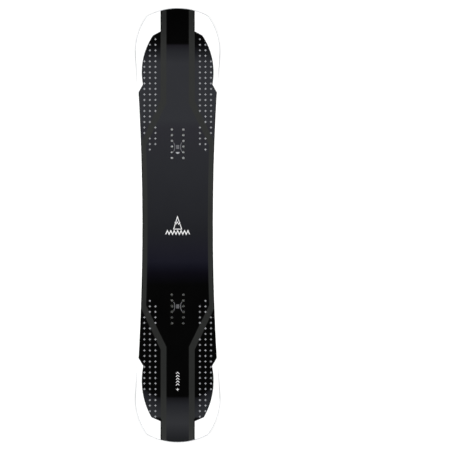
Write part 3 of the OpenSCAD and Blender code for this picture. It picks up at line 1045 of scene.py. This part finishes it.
def stroke(path, width):
    """A line of ink of one width along a path."""
    across = []
    for (x0, y0), (x1, y1) in zip(path, path[1:]):
        across.append(np.array([y0 - y1, x1 - x0]) / math.hypot(x1 - x0, y1 - y0))
    left, right = [], []
    for i, (x, y) in enumerate(path):
        beside = across[max(i - 1, 0):i + 1]
        n = sum(beside) / len(beside)
        n = n / (n @ n) * width / 2
        left.append((x + n[0], y + n[1]))
        right.append((x - n[0], y - n[1]))
    return [left + right[::-1]]


def print_plus_marks():
    """Rows of small plus marks beside the insert packs; two columns run on in the tail's fins."""
    first_x, pitch, span, arm = 265.4, 19.35, 7.2, 1.7
    columns = {
        78.0: [*range(1, 5), *range(7, 21)],
        97.6: [*range(0, 3), *range(5, 20)],
        117.0: [*range(3, 17)],
    }
    tail_more = {78.0: [21], 97.6: [20], 117.0: []}
    shapes = []
    for y, rows in columns.items():
        for end, more in ((1, []), (-1, tail_more[y])):
            for row in rows + more:
                for side in (1, -1):
                    at = (end * (first_x + pitch * row), side * y)
                    shapes.append([placed(cross_shape(span, arm), at)])
    printed_piece("deck_plus_marks", shapes, PALE_INK)


def print_peak():
    """A small peak over a ridge line, in the middle of the deck."""
    peak_line, snow_line, ridge_line = 2.6, 2.2, 3.0
    peak = [(-15, 16), (34, 0.8), (-15, -16)]
    snow = [(11, 10.5), (4, 5.2), (12, 1.2), (3, -3), (10, -8.6)]
    ridge_x, ridge_height, ridge_half, folds = -32, 13, 42, 14
    ridge = [
        (ridge_x + ridge_height * (i % 2), ridge_half - 2 * ridge_half * i / folds)
        for i in range(folds + 1)
    ]
    shapes = [
        [peak, drawn_in(peak, peak_line)], stroke(snow, snow_line), stroke(ridge, ridge_line)
    ]
    printed_piece("deck_peak_print", shapes, WHITE_INK)


def print_tail_column():
    """A column of chevrons and a plus, near the tail."""
    places, reach, half_width, line = np.linspace(-519, -559, 5), 3, 5.8, 2.0
    plus_x, plus_span = -576.6, 9.0
    shapes = [
        stroke([(x - reach, half_width), (x + reach, 0), (x - reach, -half_width)], line)
        for x in places
    ]
    shapes.append([placed(cross_shape(plus_span, line), (plus_x, 0))])
    printed_piece("deck_chevron_print", shapes, WHITE_INK)


def print_stance_marks():
    """Brackets and bars in the middle of each insert pack, and a half-moon in the nose's."""
    bow_half, bow_y, bow_bulge, bow_line = 16, 10.2, 4.6, 1.3
    bar_half_x, bar_half_y = 0.8, 5.5
    moon_x, moon_depth, moon_half = 256.5, 6, 7.5
    shapes = []
    for x in (274.5, -285.0):
        for side in (1, -1):
            bow = [
                (x + along, side * (bow_y + bow_bulge * abs(along / bow_half) ** 2.5))
                for along in np.linspace(-bow_half, bow_half, 17)
            ]
            shapes.append(stroke(bow, bow_line))
        for step in (-5.4, -1.8, 1.8, 5.4):
            low, high = x + step - bar_half_x, x + step + bar_half_x
            bar = [(low, -bar_half_y), (high, -bar_half_y), (high, bar_half_y), (low, bar_half_y)]
            shapes.append([bar])
    moon = [
        (moon_x - moon_depth * (1 - (y / moon_half) ** 2), y)
        for y in np.linspace(-moon_half, moon_half, 17)
    ]
    printed_piece("deck_stance_marks", shapes, GREY_INK)
    printed_piece("deck_centre_mark", [[moon]], PALE_INK)


# ---------------------------------------------------------------- layers inside


def finish_inner_layers():
    """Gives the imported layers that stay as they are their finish."""
    finishes = {
        "toe_foil": FINISHES["foil_rubber"], "heel_foil": FINISHES["foil_rubber"],
        "bottom_glass": FINISHES["glass_laminate"], "top_glass": FINISHES["glass_laminate"],
        "toe_carbon_tape": FINISHES["carbon_tape"], "heel_carbon_tape": FINISHES["carbon_tape"],
        "core_centre": BEECH,
    }
    for side in ("toe", "heel"):
        finishes[f"core_{side}_inner"] = POPLAR
        finishes[f"core_{side}_middle"] = BEECH
        finishes[f"core_{side}_outer"] = POPLAR
    for name, finish in finishes.items():
        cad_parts[name].material_slots[0].material = finish


lay_base()
lay_edges()
lay_sidewalls()
lay_spacers()
lay_deck()
set_inserts()
print_plus_marks()
print_peak()
print_tail_column()
print_stance_marks()
finish_inner_layers()

# ---------------------------------------------------------------- studio

# The room lights the board this much, and looks that bright itself.
ROOM_LIGHT, ROOM_LOOKS = 0.03, 1.1
# The floor's half-width and how far it lies below the base, in metres.
FLOOR_HALF, FLOOR_DROP = 150.0, 0.0005
# The softboxes' directions in degrees, their distance and width in metres, and how steeply
# they look down.
SOFTBOX_TURNS = (78, 102, 258, 282)
SOFTBOX_AWAY, SOFTBOX_WIDTH, SOFTBOX_RISE = 8.0, 3.6, math.radians(37)
# Found by trial: what the sum for small lamps falls short by with softboxes this wide.
SOFTBOX_TRIM = 1.07
# The lens and its sensor in mm, and the width seen and the place looked at, in metres.
LENS, SENSOR = 1000.0, 36.0
SEEN_WIDTH = 1.5795
LOOK_AT = (0.0007, -0.1661)


def lay_floor():
    """A wide pale floor, seen from above only, which glows more where the softboxes' light ends."""
    f = Finish("studio_floor", Roughness=0.9, Specular_IOR_Level=0.1, Emission_Strength=1.1)
    tone = f.mix(f.noise(0.6, 2), (0.58, 0.58, 0.58, 1), (0.6, 0.6, 0.6, 1))
    away = (f.x**2 + f.y**2) ** 0.5
    glow = f.mix(away.rise(1200, 9000), (0.55, 0.55, 0.55, 1), (1, 1, 1, 1))
    f.shade(Base_Color=tone, Emission_Color=glow)
    facing = f.node("ShaderNodeNewGeometry").out("Backfacing")
    clear = f.node("ShaderNodeBsdfTransparent").out("BSDF")
    both = f.node("ShaderNodeMixShader", {}, {0: facing, 1: f.shader.outputs["BSDF"], 2: clear})
    f.feed(f.tree.nodes["Material Output"].inputs["Surface"], both.out(0))
    mesh = bpy.data.meshes.new("studio_floor")
    low, high = -FLOOR_HALF, FLOOR_HALF
    corners = [(low, low, 0), (high, low, 0), (high, high, 0), (low, high, 0)]
    mesh.from_pydata(corners, [], [(0, 1, 2, 3)])
    mesh.materials.append(f.material)
    floor = bpy.data.objects.new("studio_floor", mesh)
    floor.location.z = -FLOOR_DROP
    bpy.context.scene.collection.objects.link(floor)


def hang_lights():
    """Two pairs of soft lights along the board's sides, none overhead: the deck stays dark."""
    share = math.pi * SOFTBOX_TRIM * (STUDIO_LIGHT - ROOM_LIGHT) / len(SOFTBOX_TURNS)
    power = share * math.pi * SOFTBOX_AWAY**2 / math.sin(SOFTBOX_RISE)
    for number, turn in enumerate(math.radians(degrees) for degrees in SOFTBOX_TURNS):
        lamp = bpy.data.lights.new(f"softbox_{number}", "AREA")
        lamp.size, lamp.energy = SOFTBOX_WIDTH, power
        softbox = bpy.data.objects.new(lamp.name, lamp)
        softbox.location = [
            SOFTBOX_AWAY * math.cos(SOFTBOX_RISE) * math.cos(turn),
            SOFTBOX_AWAY * math.cos(SOFTBOX_RISE) * math.sin(turn),
            SOFTBOX_AWAY * math.sin(SOFTBOX_RISE),
        ]
        softbox.rotation_euler = (-softbox.location).to_track_quat("-Z", "Y").to_euler()
        softbox.visible_camera = False
        bpy.context.scene.collection.objects.link(softbox)


def set_world():
    """A dim room whose walls look white."""
    world = bpy.data.worlds.new("studio_room")
    bpy.context.scene.world = world
    room = Nodes(world)
    seen = room.node("ShaderNodeLightPath").dial("Is Camera Ray")
    walls = room.tree.nodes["Background"].inputs
    room.feed(walls["Color"], (1, 1, 1, 1))
    room.feed(walls["Strength"], seen * (ROOM_LOOKS - ROOM_LIGHT) + ROOM_LIGHT)


def set_camera():
    """Straight over the board with a long lens, nose up; the board lies left of the middle."""
    lens = bpy.data.cameras.new("long_lens")
    lens.lens, lens.sensor_width = LENS, SENSOR
    lens.clip_start, lens.clip_end = 1.0, 400.0
    camera = bpy.data.objects.new("camera", lens)
    camera.location = (*LOOK_AT, SEEN_WIDTH * LENS / SENSOR)
    camera.rotation_euler = (0, 0, -math.pi / 2)
    bpy.context.scene.collection.objects.link(camera)
    bpy.context.scene.camera = camera


lay_floor()
hang_lights()
set_world()
set_camera()
bpy.context.scene.view_settings.view_transform = "Standard"

bpy.context.view_layer.update()
